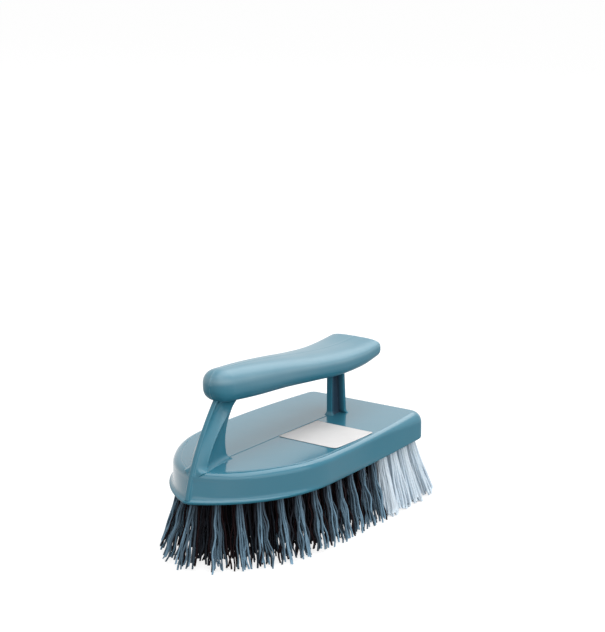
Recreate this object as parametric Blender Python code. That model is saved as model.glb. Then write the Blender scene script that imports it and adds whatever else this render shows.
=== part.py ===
"""Hand scrubbing brush for tiles: an iron-shaped block with a raised grip, and tufts of crimped bristles.

Lengths are in metres. Each piece is drawn in the brush's own frame, with the nose of the block at -X,
the rear at +X and z = 0 on the underside of the block. One empty then lifts the whole brush until it
stands on its bristles at z = 0, with the middle of its outer box over the origin.
"""
import math
import random

import bmesh
import bpy
import numpy as np
from mathutils import Matrix, Vector

# Block: an iron's outline, drawn with two arcs on each side and a rounded rear corner
block_length = 0.150
block_half_width = 0.0385
block_height = 0.014
nose_run = 0.060
nose_half_width = 0.0014
rear_half_width = 0.0352
rear_corner_radius = 0.007
bottom_edge_radius = 0.0007
least_corner_share = 0.25
crease_width = 0.0006
crease_depth = 0.0003

# Wall of the block, from nose to rear: a lip at the bottom, which stands out round the nose, the foot of the
# wall behind it, the shoulder where the wall rolls over, and the edge of the flat top
lip_edge_height = 0.0014
lip_height = 0.0020
wall_station_shares = (0.0, 0.10, 0.18, 0.27, 0.36, 0.77, 0.96)
lip_outsets = (0.0006, 0.0005, 0.0004, 0.0002, 0.0, 0.0, 0.0)
foot_insets = (0.0009, 0.0011, 0.0010, 0.0005, 0.0, 0.0, 0.0)
shoulder_insets = (0.0030, 0.0015, 0.0013, 0.0006, 0.0, 0.0, 0.0)
shoulder_drops = (0.0034, 0.0033, 0.0033, 0.0032, 0.0031, 0.0030, 0.0056)
flat_insets = (0.0045, 0.0045, 0.0044, 0.0034, 0.0028, 0.0030, 0.0050)

# Grip: a wave-shaped bar, narrow and round in front, wide and cut flat behind
grip_front_setback = 0.0182
grip_rear_setback = 0.010
grip_rise = 0.0444
grip_half_width = 0.0155
grip_front_rounding = 0.0085
grip_rear_edge_radius = 0.0025
grip_station_shares = (0.03, 0.22, 0.41, 0.59, 0.77, 0.885, 1.0)
grip_width_shares = (0.50, 0.655, 0.765, 0.86, 0.95, 1.0, 0.98)
grip_top_shares = (1.0, 0.962, 0.905, 0.842, 0.798, 0.790, 0.810)
grip_under_shares = (0.646, 0.604, 0.581, 0.541, 0.507, 0.524, 0.578)
grip_widest_share = 0.55
grip_front_roundness = 2.3
grip_top_roundness_shares = (2.2, 2.3, 2.4, 2.5, 2.8, 3.3, 3.8)
grip_under_roundness_shares = (3.0, 3.0, 3.0, 2.9, 2.8, 2.7, 2.6)

# Front post: a narrow spine that runs down the nose as a keel, a ridge at mid depth and a thin web behind
post_sink = 0.004
post_flare_height = 0.0024
front_post_flare = 0.0012
bow_flare = 0.0034
bow_depth = 0.0034
spine_half_width = 0.00125
spine_depth = 0.0014
spine_setbacks = (0.0039, 0.0109, 0.0204)
ridge_setbacks = (0.0089, 0.0166, 0.0315)
web_rear_setbacks = (0.0307, 0.0297, 0.0384)
ridge_half_width = 0.0046
web_half_width = 0.0024
web_edge_half_width = 0.0007
web_edge_depth = 0.0012
channel_half_width_at_foot = 0.0034
channel_half_width_at_top = 0.0012
spine_back_share = 1.1
channel_place_share = 0.5
web_place_share = 0.45
web_edge_back_share = 2.0

# Rear post: a straight T section with a narrow rib in front and a wide flange behind
rear_post_setback = 0.0350
rear_post_depth = 0.0064
rear_post_taper = 0.0020
rear_post_flare = 0.0009
rib_half_width = 0.0016
rib_depth = 0.0017
rear_web_half_width = 0.0009
flange_half_width = 0.0048
flange_depth = 0.0019
pocket_corner = 0.0004

# Tufts: bundles of crimped strands folded over a flat wire anchor and driven into blind holes
bristle_length = 0.031
tuft_radius = 0.0026
tuft_clearance = 0.0003
tuft_depth = 0.0072
anchor_length_share = 1.5
anchor_thickness = 0.0006
anchor_height = 0.0016
anchor_sink = 0.0008
edge_tuft_inset = 0.006
inner_tuft_inset = 0.015
core_tuft_inset = 0.028
white_zone_share = 0.28
strand_radius = 0.0006
strand_tip_radius_share = 0.85
strand_ring_share = 0.58
strand_root_sink = 0.0002
tip_spread_share = 2.2
side_splay = 0.0055
nose_splay = 0.0085
rear_splay = 0.0092
rear_sweep = 0.0062
swept_zone_share = 0.30
inner_splay_share = 0.5
crimp_depth = 0.0009
tip_scatter = 0.00035
ragged_tip_height = 0.0026
least_ragged_share = 0.2
trim_depth = 0.0005

# Label: a square of paper stuck on the top, beside the centre line
label_length = 0.0315
label_width = 0.0335
label_thickness = 0.00015
label_corner_radius = 0.0006
label_lift = 0.0003
label_setback = 0.0864
label_side_offset = 0.0176
label_turn = math.radians(-1.5)

# Counts
edge_tuft_count = 36
inner_tuft_count = 13
core_tuft_count = 9
edge_strand_count = 6
inner_strand_count = 6
edge_bend_count = 3
inner_bend_count = 1
standing_strand_count = 2
nose_arc_count = 18
side_arc_count = 7
corner_arc_count = 6
shoulder_arc_count = 5
bottom_arc_count = 3
grip_station_count = 24
grip_section_count = 22
post_level_count = 9
keel_level_count = 5
hole_side_count = 8
plug_side_count = 6
strand_side_count = 3

nose_x = -block_length / 2
rear_x = block_length / 2
drill_overrun = tuft_clearance
weld_distance = crease_depth / 100
strand_turns = np.linspace(0.0, 2 * math.pi, strand_side_count, endpoint=False)

MATERIALS = {
    "teal_plastic": ((0.075, 0.225, 0.290), 0.28),
    "teal_bristle": ((0.095, 0.215, 0.270), 0.45),
    "white_bristle": ((0.62, 0.72, 0.80), 0.40),
    "label_paper": ((0.82, 0.82, 0.80), 0.70),
}


def make_material(name):
    """One plain Principled finish with the piece's colour and roughness."""
    color, roughness = MATERIALS[name]
    material = bpy.data.materials.new(name)
    material.use_nodes = True
    shader = material.node_tree.nodes["Principled BSDF"]
    shader.inputs["Base Color"].default_value = (*color, 1.0)
    shader.inputs["Roughness"].default_value = roughness
    shader.inputs["Metallic"].default_value = 0.0
    return material


def add_object(name, bm, collection, material=None):
    """Turn an edit mesh into a named object that hangs on the brush's own frame."""
    bmesh.ops.recalc_face_normals(bm, faces=bm.faces)
    mesh = bpy.data.meshes.new(name)
    bm.to_mesh(mesh)
    bm.free()
    piece = bpy.data.objects.new(name, mesh)
    collection.objects.link(piece)
    piece.parent = stand
    if material is not None:
        mesh.materials.append(material)
    if collection is cutters:
        piece.hide_render = True
        piece.display_type = "WIRE"
    return piece


def combine(piece, tool, operation):
    """Cut or join the tool into the piece."""
    step = piece.modifiers.new(operation.lower() + "_" + tool.name, "BOOLEAN")
    step.operation = operation
    step.object = tool
    step.solver = "EXACT"


def arc(center, radius, start, end, count):
    """Points on a circle from one angle to another."""
    return [(center[0] + radius * math.cos(a), center[1] + radius * math.sin(a))
            for a in np.linspace(start, end, count)]


def half_outline(inset):
    """One side of the block's outline, nose to rear, moved inwards by the inset.

    The nose arc starts at the flat of the narrow nose, or on the centre line where the inset has closed
    that flat, and meets the rear arc at the widest place. The corner circle touches the rear arc and the
    straight rear edge.
    """
    tangent_x = nose_x + nose_run
    nose_rise = block_half_width - nose_half_width
    nose_radius = (nose_run ** 2 + nose_rise ** 2) / (2 * nose_rise)
    rear_run = block_length - nose_run
    rear_drop = block_half_width - rear_half_width
    rear_radius = (rear_run ** 2 + rear_drop ** 2) / (2 * rear_drop)
    nose_center = (tangent_x, block_half_width - nose_radius)
    rear_center = (tangent_x, block_half_width - rear_radius)
    start = math.acos((nose_run - inset) / (nose_radius - inset))
    start = math.pi - max(start, math.asin(-nose_center[1] / (nose_radius - inset)))
    corner = max(rear_corner_radius - inset, rear_corner_radius * least_corner_share)
    corner_x = rear_x - inset - corner
    reach = rear_radius - inset - corner
    corner_y = rear_center[1] + math.sqrt(reach ** 2 - (corner_x - tangent_x) ** 2)
    turn = math.atan2(corner_y - rear_center[1], corner_x - tangent_x)
    points = arc(nose_center, nose_radius - inset, start, math.pi / 2, nose_arc_count)
    points += arc(rear_center, rear_radius - inset, math.pi / 2, turn, side_arc_count)[1:]
    points += arc((corner_x, corner_y), corner, turn, 0.0, corner_arc_count)[1:]
    return points


def closed_outline(inset):
    """Both sides of the outline as one loop."""
    side = half_outline(inset)
    near = [(x, -y) for x, y in side]
    closes = abs(side[0][1]) < weld_distance
    return near + side[:0 if closes else None:-1]


def walk_outline(inset, count):
    """Places spaced evenly along the inset outline from the nose, each with its outward direction."""
    loop = np.array(closed_outline(inset))
    loop = np.vstack([loop, loop[:1]])
    steps = np.linalg.norm(np.diff(loop, axis=0), axis=1)
    along = np.concatenate([[0.0], np.cumsum(steps)])
    places = []
    for distance in np.linspace(0.0, along[-1], count, endpoint=False):
        x, y = (float(np.interp(distance, along, loop[:, axis])) for axis in (0, 1))
        piece = int(np.searchsorted(along, distance, side="right")) - 1
        run = loop[piece + 1] - loop[piece]
        outward = Vector((run[1], -run[0])).normalized()
        if distance == 0.0:
            outward = Vector((-1.0, 0.0))
        places.append((Vector((x, y)), outward))
    return places


def smooth(shares, values, share):
    """A smooth curve through the values, read at one share, with slopes taken from the neighbours."""
    shares = np.array(shares)
    values = np.array(values)
    slopes = np.gradient(values, shares)
    share = min(max(share, shares[0]), shares[-1])
    i = min(int(np.searchsorted(shares, share, side="right")) - 1, len(shares) - 2)
    width = shares[i + 1] - shares[i]
    t = (share - shares[i]) / width
    start = (1 + 2 * t) * (1 - t) ** 2 * values[i] + t * (1 - t) ** 2 * width * slopes[i]
    end = t * t * (3 - 2 * t) * values[i + 1] + t * t * (t - 1) * width * slopes[i + 1]
    return float(start + end)


def through_three(values, share):
    """The parabola through a foot, a middle and a top value, read at a share of the height."""
    foot, middle, top = values
    bend = 2 * (foot - 2 * middle + top)
    return foot + (top - foot - bend) * share + bend * share ** 2


def loft(bm, sections):
    """Skin a row of sections with equal counts of points and close both ends."""
    rings = [[bm.verts.new(point) for point in section] for section in sections]
    for low, high in zip(rings, rings[1:]):
        for i in range(len(low)):
            j = (i + 1) % len(low)
            bm.faces.new((low[i], low[j], high[j], high[i]))
    bm.faces.new(rings[0][::-1])
    bm.faces.new(rings[-1])


def grip_profile(share):
    """Half width, top and underside of the grip at a share of its length, above the block's underside."""
    width = grip_half_width * smooth(grip_station_shares, grip_width_shares, share)
    top = block_height + grip_rise * smooth(grip_station_shares, grip_top_shares, share)
    under = block_height + grip_rise * smooth(grip_station_shares, grip_under_shares, share)
    return width, top, under


grip_front_x = nose_x + grip_front_setback
grip_rear_x = rear_x - grip_rear_setback
grip_length = grip_rear_x - grip_front_x


def grip_under_at(x):
    """Height of the grip's underside above a place along the brush."""
    return grip_profile((x - grip_front_x) / grip_length)[2]


def wall_section(x):
    """The block's wall above one place along it, from the underside to the flat top, as insets and heights."""
    share = (x - nose_x) / block_length
    lip, foot, shoulder, drop, flat = (
        smooth(wall_station_shares, values, share)
        for values in (lip_outsets, foot_insets, shoulder_insets, shoulder_drops, flat_insets))
    bottom = [(bottom_edge_radius * (1 - math.cos(a)) - lip, bottom_edge_radius * (1 + math.sin(a)))
              for a in np.linspace(-math.pi / 2, 0.0, bottom_arc_count)]
    ledge = [(-lip, lip_edge_height), (foot, lip_height)]
    roll = [(shoulder + (flat - shoulder) * (1 - math.cos(a)), block_height - drop * (1 - math.sin(a)))
            for a in np.linspace(0.0, math.pi / 2, shoulder_arc_count)]
    crease = [(flat + crease_width / 2, block_height - crease_depth), (flat + crease_width, block_height)]
    return bottom + ledge + roll + crease


def make_block():
    """The solid block: its wall section, which changes from nose to rear, carried round the outline.

    Moving the outline inwards moves each of its points along a straight line, so a point at any inset lies
    that share of the way from the outer outline to the one at the deepest inset.
    """
    deepest = max(flat_insets) + crease_width
    outer = np.array(half_outline(0.0))
    inner = np.array(half_outline(deepest))
    sections = np.array([wall_section(x) for x in outer[:, 0]])
    rings = []
    for level in range(sections.shape[1]):
        insets, heights = sections[:, level, 0], sections[:, level, 1]
        flat = outer + (inner - outer) * (insets / deepest)[:, None]
        near = [(x, -y, z) for (x, y), z in zip(flat, heights)]
        rings.append(near + [(x, y, z) for (x, y), z in zip(flat, heights)][::-1])
    bm = bmesh.new()
    loft(bm, rings)
    return bm


def make_grip():
    """The grip: flattened round sections that widen to the rear, rounded in front, cut flat behind."""
    front = [grip_front_rounding * (1 - math.cos(a)) for a in np.linspace(0.0, math.pi / 2, 7)[1:]]
    middle = list(np.linspace(grip_front_rounding, grip_length - grip_rear_edge_radius, grip_station_count)[1:])
    rear = [grip_length - grip_rear_edge_radius * (1 - math.sin(a))
            for a in np.linspace(0.0, math.pi / 2, 4)[1:]]
    sections = []
    for along in front + middle + rear:
        share = along / grip_length
        width, top, under = grip_profile(share)
        top_roundness = smooth(grip_station_shares, grip_top_roundness_shares, share)
        under_roundness = smooth(grip_station_shares, grip_under_roundness_shares, share)
        closing = min(along / grip_front_rounding, 1.0)
        closing = (1 - (1 - closing) ** grip_front_roundness) ** (1 / grip_front_roundness)
        into_edge = max(along - (grip_length - grip_rear_edge_radius), 0.0)
        shrink = grip_rear_edge_radius - math.sqrt(max(grip_rear_edge_radius ** 2 - into_edge ** 2, 0.0))
        widest = under + (top - under) * grip_widest_share
        section = []
        for a in np.linspace(0.0, 2 * math.pi, grip_section_count, endpoint=False):
            c, s = math.cos(a), math.sin(a)
            power = 2 / (top_roundness if s >= 0 else under_roundness)
            tall = (top - widest if s >= 0 else widest - under) - shrink
            y = (width - shrink) * closing * math.copysign(abs(c) ** power, c)
            z = widest + tall * closing * math.copysign(abs(s) ** power, s)
            section.append((grip_front_x + along, y, z))
        sections.append(section)
    bm = bmesh.new()
    loft(bm, sections)
    return bm


def mirrored(half):
    """A closed section from one side's points, front to rear, and the same points on the other side."""
    return half + [(x, -y) for x, y in half[::-1]]


def post_heights(top):
    """Levels of a post from the block's top, past its flared foot, and up into the grip."""
    return [block_height] + list(np.linspace(block_height + post_flare_height, top, post_level_count))


def foot_flare(z, spread):
    """How far a post's foot spreads at a height: most at the block's top, none past the flare."""
    share = min(max((z - block_height) / post_flare_height, 0.0), 1.0)
    return spread * (1 - share) ** 2


def make_front_post():
    """The leaning front post: narrow spine and keel, channel that deepens upwards, ridge and thin rear web."""
    reach = grip_under_at(nose_x + ridge_setbacks[2]) - block_height
    keel = list(np.linspace(lip_height, block_height, keel_level_count)[:-1])
    sections = []
    for z in keel + post_heights(block_height + reach + post_sink):
        share = (z - block_height) / reach
        flare = foot_flare(z, front_post_flare)
        sunk = min(max((z - block_height + bow_depth) / bow_depth, 0.0), 1.0)
        bow = foot_flare(z, bow_flare) * sunk
        spine = nose_x + through_three(spine_setbacks, share)
        ridge = nose_x + through_three(ridge_setbacks, share)
        rear = nose_x + through_three(web_rear_setbacks, share) + flare
        held = min(max(share, 0.0), 1.0)
        channel = channel_half_width_at_foot * (1 - held) + channel_half_width_at_top * held
        inner = spine + spine_depth
        half = [
            (spine, spine_half_width),
            (inner, spine_half_width * spine_back_share + bow),
            (inner + (ridge - inner) * channel_place_share, channel + bow / 2),
            (ridge, ridge_half_width + flare),
            (ridge + (rear - web_edge_depth - ridge) * web_place_share, web_half_width + flare),
            (rear - web_edge_depth, web_edge_half_width * web_edge_back_share + flare),
            (rear, web_edge_half_width + flare),
        ]
        sections.append([(x, y, z) for x, y in mirrored(half)])
    bm = bmesh.new()
    loft(bm, sections)
    return bm


def make_rear_post():
    """The upright rear post: front rib, web set back in its pockets, and wide rear flange."""
    center = rear_x - rear_post_setback + rear_post_depth / 2
    top = grip_under_at(center) + post_sink
    sections = []
    for z in [block_height - post_sink] + post_heights(top):
        share = (z - block_height) / (top - block_height)
        flare = foot_flare(z, rear_post_flare)
        front = center - rear_post_depth / 2 - flare
        rear = center + rear_post_depth / 2 + rear_post_taper * (1 - share) + flare
        half = [
            (front, rib_half_width + flare),
            (front + rib_depth, rib_half_width + flare),
            (front + rib_depth + pocket_corner, rear_web_half_width + flare),
            (rear - flange_depth - pocket_corner, rear_web_half_width + flare),
            (rear - flange_depth, flange_half_width + flare),
            (rear, flange_half_width + flare),
        ]
        sections.append([(x, y, z) for x, y in mirrored(half)])
    bm = bmesh.new()
    loft(bm, sections)
    return bm


def make_hole_cutter(places):
    """One blind hole for each tuft, as wide as the tuft and its clearance on each side."""
    hole_depth = tuft_depth + anchor_height - anchor_sink + tuft_clearance
    tall = hole_depth + drill_overrun
    bm = bmesh.new()
    for place, _ in places:
        lift = Matrix.Translation((place.x, place.y, hole_depth - tall / 2))
        radius = tuft_radius + tuft_clearance
        bmesh.ops.create_cone(bm, cap_ends=True, segments=hole_side_count, radius1=radius, radius2=radius,
                              depth=tall, matrix=lift)
    return bm


def lean_of(place, outward):
    """How far an edge tuft's tips lean: outwards, most at the rear, and the last side tufts backwards too."""
    rearward = max(outward.x, 0.0) ** 2
    forward = max(-outward.x, 0.0)
    splay = side_splay + (rear_splay - side_splay) * rearward + (nose_splay - side_splay) * forward
    swept_zone = block_length * swept_zone_share
    sweep = rear_sweep * max(place.x - rear_x + swept_zone, 0.0) / swept_zone * abs(outward.y)
    return outward * splay + Vector((sweep, 0.0))


def strand_paths(place, lean, count, bends, chance):
    """Centre lines of one tuft's strands: they fan out evenly, zigzag together and end ragged."""
    turn = chance.uniform(0.0, 2 * math.pi)
    crimp_way = chance.uniform(0.0, math.pi)
    crimp = Vector((math.cos(crimp_way), math.sin(crimp_way))) * crimp_depth
    standing = chance.sample(range(count), standing_strand_count)
    paths = []
    for i in range(count):
        a = turn + 2 * math.pi * i / count
        offset = Vector((math.cos(a), math.sin(a))) * tuft_radius * strand_ring_share
        scatter = Vector((chance.uniform(-1, 1), chance.uniform(-1, 1))) * tip_scatter
        raised = chance.uniform(least_ragged_share, 1.0) * ragged_tip_height
        tip_z = -bristle_length - trim_depth if i in standing else -bristle_length + raised
        path = [Vector((place.x + offset.x, place.y + offset.y, strand_root_sink))]
        for bend in range(1, bends + 1):
            t = bend / bends
            fan = 1 + (tip_spread_share - 1) * t
            sway = 0.0 if bend == bends else (1.0 if bend % 2 else -1.0)
            flat = place + offset * fan + lean * t + crimp * sway + scatter * t
            path.append(Vector((flat.x, flat.y, tip_z * t)))
        paths.append(path)
    return paths


def add_strand(bm, path):
    """A strand: a small polygon carried from bend to bend, a little thinner at its tip."""
    sections = []
    for point in path:
        radius = strand_radius * (strand_tip_radius_share if point is path[-1] else 1.0)
        sections.append([(point.x + radius * math.cos(a), point.y + radius * math.sin(a), point.z)
                         for a in strand_turns])
    loft(bm, sections)


def trim_at_floor(bm):
    """Cut the strands that reach past the floor flat, as the maker trims the tips."""
    geometry = list(bm.verts) + list(bm.edges) + list(bm.faces)
    bmesh.ops.bisect_plane(bm, geom=geometry, plane_co=(0.0, 0.0, -bristle_length), plane_no=(0.0, 0.0, -1.0),
                           clear_outer=True)
    open_edges = [e for e in bm.edges if e.is_boundary]
    bmesh.ops.holes_fill(bm, edges=open_edges, sides=strand_side_count)


def make_tuft(name, place, paths, material):
    """One tuft: the packed root in its hole, the flat anchor across its fold, and the loose strands."""
    bm = bmesh.new()
    bmesh.ops.create_cone(bm, cap_ends=True, segments=plug_side_count, radius1=tuft_radius, radius2=tuft_radius,
                          depth=tuft_depth, matrix=Matrix.Translation((place.x, place.y, tuft_depth / 2)))
    tuft = add_object(name, bm, pieces, material)

    bm = bmesh.new()
    middle = tuft_depth - anchor_sink + anchor_height / 2
    size = Matrix.Diagonal((tuft_radius * anchor_length_share, anchor_thickness, anchor_height, 1.0))
    bmesh.ops.create_cube(bm, size=1.0, matrix=Matrix.Translation((place.x, place.y, middle)) @ size)
    combine(tuft, add_object(name + "_anchor", bm, cutters), "UNION")

    bm = bmesh.new()
    for path in paths:
        add_strand(bm, path)
    trim_at_floor(bm)
    combine(tuft, add_object(name + "_strands", bm, cutters), "UNION")
    return tuft


def make_label(material):
    """The blank paper label, lying just over the block's top."""
    bm = bmesh.new()
    corners = []
    quarter = math.pi / 2
    for turn, (sx, sy) in enumerate(((1, 1), (-1, 1), (-1, -1), (1, -1))):
        center = (sx * (label_length / 2 - label_corner_radius), sy * (label_width / 2 - label_corner_radius))
        corners += arc(center, label_corner_radius, turn * quarter, (turn + 1) * quarter, 3)
    sheet = bm.faces.new([bm.verts.new((x, y, 0.0)) for x, y in corners])
    grown = bmesh.ops.extrude_face_region(bm, geom=[sheet])
    top = [v for v in grown["geom"] if isinstance(v, bmesh.types.BMVert)]
    bmesh.ops.translate(bm, verts=top, vec=(0.0, 0.0, label_thickness))
    label = add_object("paper_label", bm, pieces, material)
    label.location = (nose_x + label_setback, -label_side_offset, block_height + label_lift)
    label.rotation_euler = (0.0, 0.0, label_turn)


def least_strand_gap(paths):
    """Least clear distance between any two strands, measured level by level down their whole length."""
    levels = np.linspace(0.0, -bristle_length, 25)
    lines = []
    for path in paths:
        z = [point.z for point in path][::-1]
        lines.append([[np.interp(level, z, [point[axis] for point in path][::-1]) for axis in (0, 1)]
                      for level in levels])
    lines = np.array(lines)
    least = np.inf
    for level in range(len(levels)):
        flat = lines[:, level]
        apart = np.linalg.norm(flat[:, None] - flat[None], axis=2)
        np.fill_diagonal(apart, np.inf)
        least = min(least, apart.min())
    return least - 2 * strand_radius


for old in list(bpy.data.objects):
    bpy.data.objects.remove(old, do_unlink=True)

pieces = bpy.data.collections.new("tile_brush")
cutters = bpy.data.collections.new("cutters")
bpy.context.scene.collection.children.link(pieces)
bpy.context.scene.collection.children.link(cutters)
stand = bpy.data.objects.new("brush_stand", None)
pieces.objects.link(stand)
finish = {name: make_material(name) for name in MATERIALS}

# Places of the tufts: three rows that follow the outline, one along the edge and two inside it
edge_places = walk_outline(edge_tuft_inset, edge_tuft_count)
inner_places = walk_outline(inner_tuft_inset, inner_tuft_count)
core_places = walk_outline(core_tuft_inset, core_tuft_count)

chance = random.Random(7)
tufts = []
for i, (place, outward) in enumerate(edge_places):
    paths = strand_paths(place, lean_of(place, outward), edge_strand_count, edge_bend_count, chance)
    tufts.append((f"tuft_edge_{i + 1:02d}", place, paths))
for i, (place, outward) in enumerate(inner_places + core_places):
    lean = lean_of(place, outward) * inner_splay_share
    paths = strand_paths(place, lean, inner_strand_count, inner_bend_count, chance)
    tufts.append((f"tuft_inner_{i + 1:02d}", place, paths))

# The moulding: block, both posts and the grip are one piece, with a blind hole for each tuft
body = add_object("brush_body", make_block(), pieces, finish["teal_plastic"])
combine(body, add_object("front_post", make_front_post(), cutters), "UNION")
combine(body, add_object("rear_post", make_rear_post(), cutters), "UNION")
combine(body, add_object("grip", make_grip(), cutters), "UNION")
all_places = edge_places + inner_places + core_places
combine(body, add_object("tuft_holes", make_hole_cutter(all_places), cutters), "DIFFERENCE")

for name, place, paths in tufts:
    is_white = place.x > rear_x - block_length * white_zone_share
    make_tuft(name, place, paths, finish["white_bristle" if is_white else "teal_bristle"])
make_label(finish["label_paper"])

# Stand the brush on its tips, with the middle of its outer box over the origin
all_paths = [path for _, _, paths in tufts for path in paths]
tip_x = [path[-1].x for path in all_paths]
tip_reach = [strand_radius * strand_tip_radius_share * math.cos(a) for a in strand_turns]
low_x = min(tip_x) + min(tip_reach)
high_x = max(tip_x) + max(tip_reach)
stand.location = (-(low_x + high_x) / 2, 0.0, bristle_length)

print(f"strands: {len(all_paths)}, least gap between strands: {least_strand_gap(all_paths) * 1000:.2f} mm")
print(f"brush frame lies at {[round(v, 6) for v in stand.location]}")
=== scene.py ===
# %% [markdown]
# # A tile brush
#
# A scrubbing brush for tiles has three things to look at: one large moulding of glossy teal plastic,
# hundreds of crimped bristles, and a small square of paper. The working model already says where each piece
# is and how large it may be. This lesson loads that model and dresses it: smooth skins over the plain
# solids, many more strands in each tuft, and a finish for every surface.

# %% Load the working model
import math

import bmesh
import bpy
import numpy as np
from mathutils import Matrix, Vector


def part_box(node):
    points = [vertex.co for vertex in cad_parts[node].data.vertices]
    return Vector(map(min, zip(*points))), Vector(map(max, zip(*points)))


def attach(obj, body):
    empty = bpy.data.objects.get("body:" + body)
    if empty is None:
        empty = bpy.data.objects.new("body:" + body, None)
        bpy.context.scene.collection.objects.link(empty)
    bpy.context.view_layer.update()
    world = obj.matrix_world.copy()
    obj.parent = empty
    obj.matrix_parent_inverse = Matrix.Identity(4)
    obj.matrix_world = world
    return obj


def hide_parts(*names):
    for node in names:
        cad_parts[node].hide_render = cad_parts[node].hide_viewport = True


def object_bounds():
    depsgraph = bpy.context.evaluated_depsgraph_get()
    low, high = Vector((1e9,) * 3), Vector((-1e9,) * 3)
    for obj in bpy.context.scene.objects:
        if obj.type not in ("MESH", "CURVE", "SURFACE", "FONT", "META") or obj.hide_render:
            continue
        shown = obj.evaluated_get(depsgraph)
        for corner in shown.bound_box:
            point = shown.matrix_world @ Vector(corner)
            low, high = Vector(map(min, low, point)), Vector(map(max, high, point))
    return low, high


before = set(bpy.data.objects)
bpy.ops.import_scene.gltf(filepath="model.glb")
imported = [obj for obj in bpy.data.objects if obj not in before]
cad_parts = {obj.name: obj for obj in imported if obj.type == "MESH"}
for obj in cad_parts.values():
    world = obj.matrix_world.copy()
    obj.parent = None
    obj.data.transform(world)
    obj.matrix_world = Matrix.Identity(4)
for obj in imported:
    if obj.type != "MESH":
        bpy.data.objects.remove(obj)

solid_box = [list(corner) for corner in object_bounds()]
body_low, body_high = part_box("brush_body")
block_length = 0.150
rear_x, underside_z = body_high.x, body_low.z
nose_x = rear_x - block_length
middle_x = (nose_x + rear_x) / 2
print("block runs from", round(nose_x, 4), "to", round(rear_x, 4), "above", round(underside_z, 4))

# %% [markdown]
# ## The camera
#
# A product photograph like this one is taken from a long way off with a long lens, so that parallel edges
# stay nearly parallel. The camera could be placed by eye, but a place worked out from the brush's own edges
# is steadier. It stands a little under a metre away, in front and to the side, and looks down at about
# fourteen degrees.

# %% Place the camera
brush_heart = Vector((middle_x, 0.0, 0.04))
camera_place = Vector((middle_x - 0.712572, -0.508892, 0.318254))
camera_azimuth = math.radians(-55.0966)
camera_height_angle = math.radians(13.7676)
lens_length_mm = 113.0
sensor_width_mm = 36.0

backward = Vector((math.sin(camera_azimuth) * math.cos(camera_height_angle),
                   -math.cos(camera_azimuth) * math.cos(camera_height_angle), math.sin(camera_height_angle)))
rightward = Vector((0.0, 0.0, 1.0)).cross(backward).normalized()
upward = backward.cross(rightward)
camera_data = bpy.data.cameras.new("photo_camera")
camera_data.lens = lens_length_mm
camera_data.sensor_width = sensor_width_mm
camera_data.sensor_fit = "HORIZONTAL"
camera_data.clip_end = 50.0
camera = bpy.data.objects.new("photo_camera", camera_data)
bpy.context.scene.collection.objects.link(camera)
camera_turn = Matrix((rightward, upward, backward)).transposed().to_4x4()
camera.matrix_world = Matrix.Translation(camera_place) @ camera_turn
bpy.context.scene.camera = camera
print("camera is", round((camera_place - brush_heart).length, 3), "m from the brush")

# %% [markdown]
# ## From a grid of points to a skin
#
# A skin is a sheet of four-sided faces. Its points come from a formula with two parameters, so all of them
# can be worked out as one array, and the faces follow from the rows and columns. Where a sheet closes on
# itself the last column joins the first. Rows that have shrunk to a point or a line are welded, which
# closes the ends.

# %% Helpers that turn arrays into pieces
weld_distance = 1e-7
least_edge_length = 1e-8


def piece_from_faces(name, points, faces):
    """A smooth piece at the origin from points and faces, welded, with its faces outwards."""
    mesh = bpy.data.meshes.new(name)
    mesh.from_pydata(points.reshape(-1, 3).tolist(), [], faces)
    bm = bmesh.new()
    bm.from_mesh(mesh)
    bmesh.ops.remove_doubles(bm, verts=bm.verts, dist=weld_distance)
    bmesh.ops.dissolve_degenerate(bm, edges=bm.edges, dist=least_edge_length)
    bmesh.ops.recalc_face_normals(bm, faces=bm.faces)
    bm.to_mesh(mesh)
    bm.free()
    mesh.polygons.foreach_set("use_smooth", np.ones(len(mesh.polygons), dtype=bool))
    piece = bpy.data.objects.new(name, mesh)
    bpy.context.scene.collection.objects.link(piece)
    return piece


def skin(name, grid):
    """A skin over rows by columns: the columns close on themselves, the rows run from end to end."""
    rows, columns = grid.shape[:2]
    corner = np.arange(rows - 1)[:, None] * columns + np.arange(columns)[None, :]
    beside = np.arange(rows - 1)[:, None] * columns + (np.arange(columns)[None, :] + 1) % columns
    faces = np.stack([corner, beside, beside + columns, corner + columns], axis=-1).reshape(-1, 4)
    return piece_from_faces(name, grid, faces.tolist())


def blend_values(shares, values, at):
    """A smooth curve through the values, whose slopes are taken from the neighbours.

    On each stretch of width w, t runs from 0 to 1 and the curve is (1 + 2t)(1 - t)^2 a + t (1 - t)^2 w p
    + t^2 (3 - 2t) b + t^2 (t - 1) w q, where a and b are the values at its ends, and p and q the slopes.
    """
    shares, values = np.array(shares), np.array(values)
    slopes = np.gradient(values, shares)
    at = np.clip(at, shares[0], shares[-1])
    left = np.clip(np.searchsorted(shares, at, side="right") - 1, 0, len(shares) - 2)
    width = shares[left + 1] - shares[left]
    t = (at - shares[left]) / width
    start = (1 + 2 * t) * (1 - t) ** 2 * values[left] + t * (1 - t) ** 2 * width * slopes[left]
    return start + t * t * (3 - 2 * t) * values[left + 1] + t * t * (t - 1) * width * slopes[left + 1]

# %% [markdown]
# ## The block
#
# The real block is a solid slab with an iron's outline: a pointed nose between two long arcs, and a
# straight rear with rounded corners. Its wall changes on the way. Round the nose it stands back from a lip
# at the bottom and leans in, and towards the rear it is upright and rolls over more softly. A thin groove
# divides the roll from the flat top. The outline could be drawn as a curve and beveled, but a bevel is the
# same all round. Here the wall's own section is carried round instead, with its lip, foot, shoulder and
# edge read from a table for each place.

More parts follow.
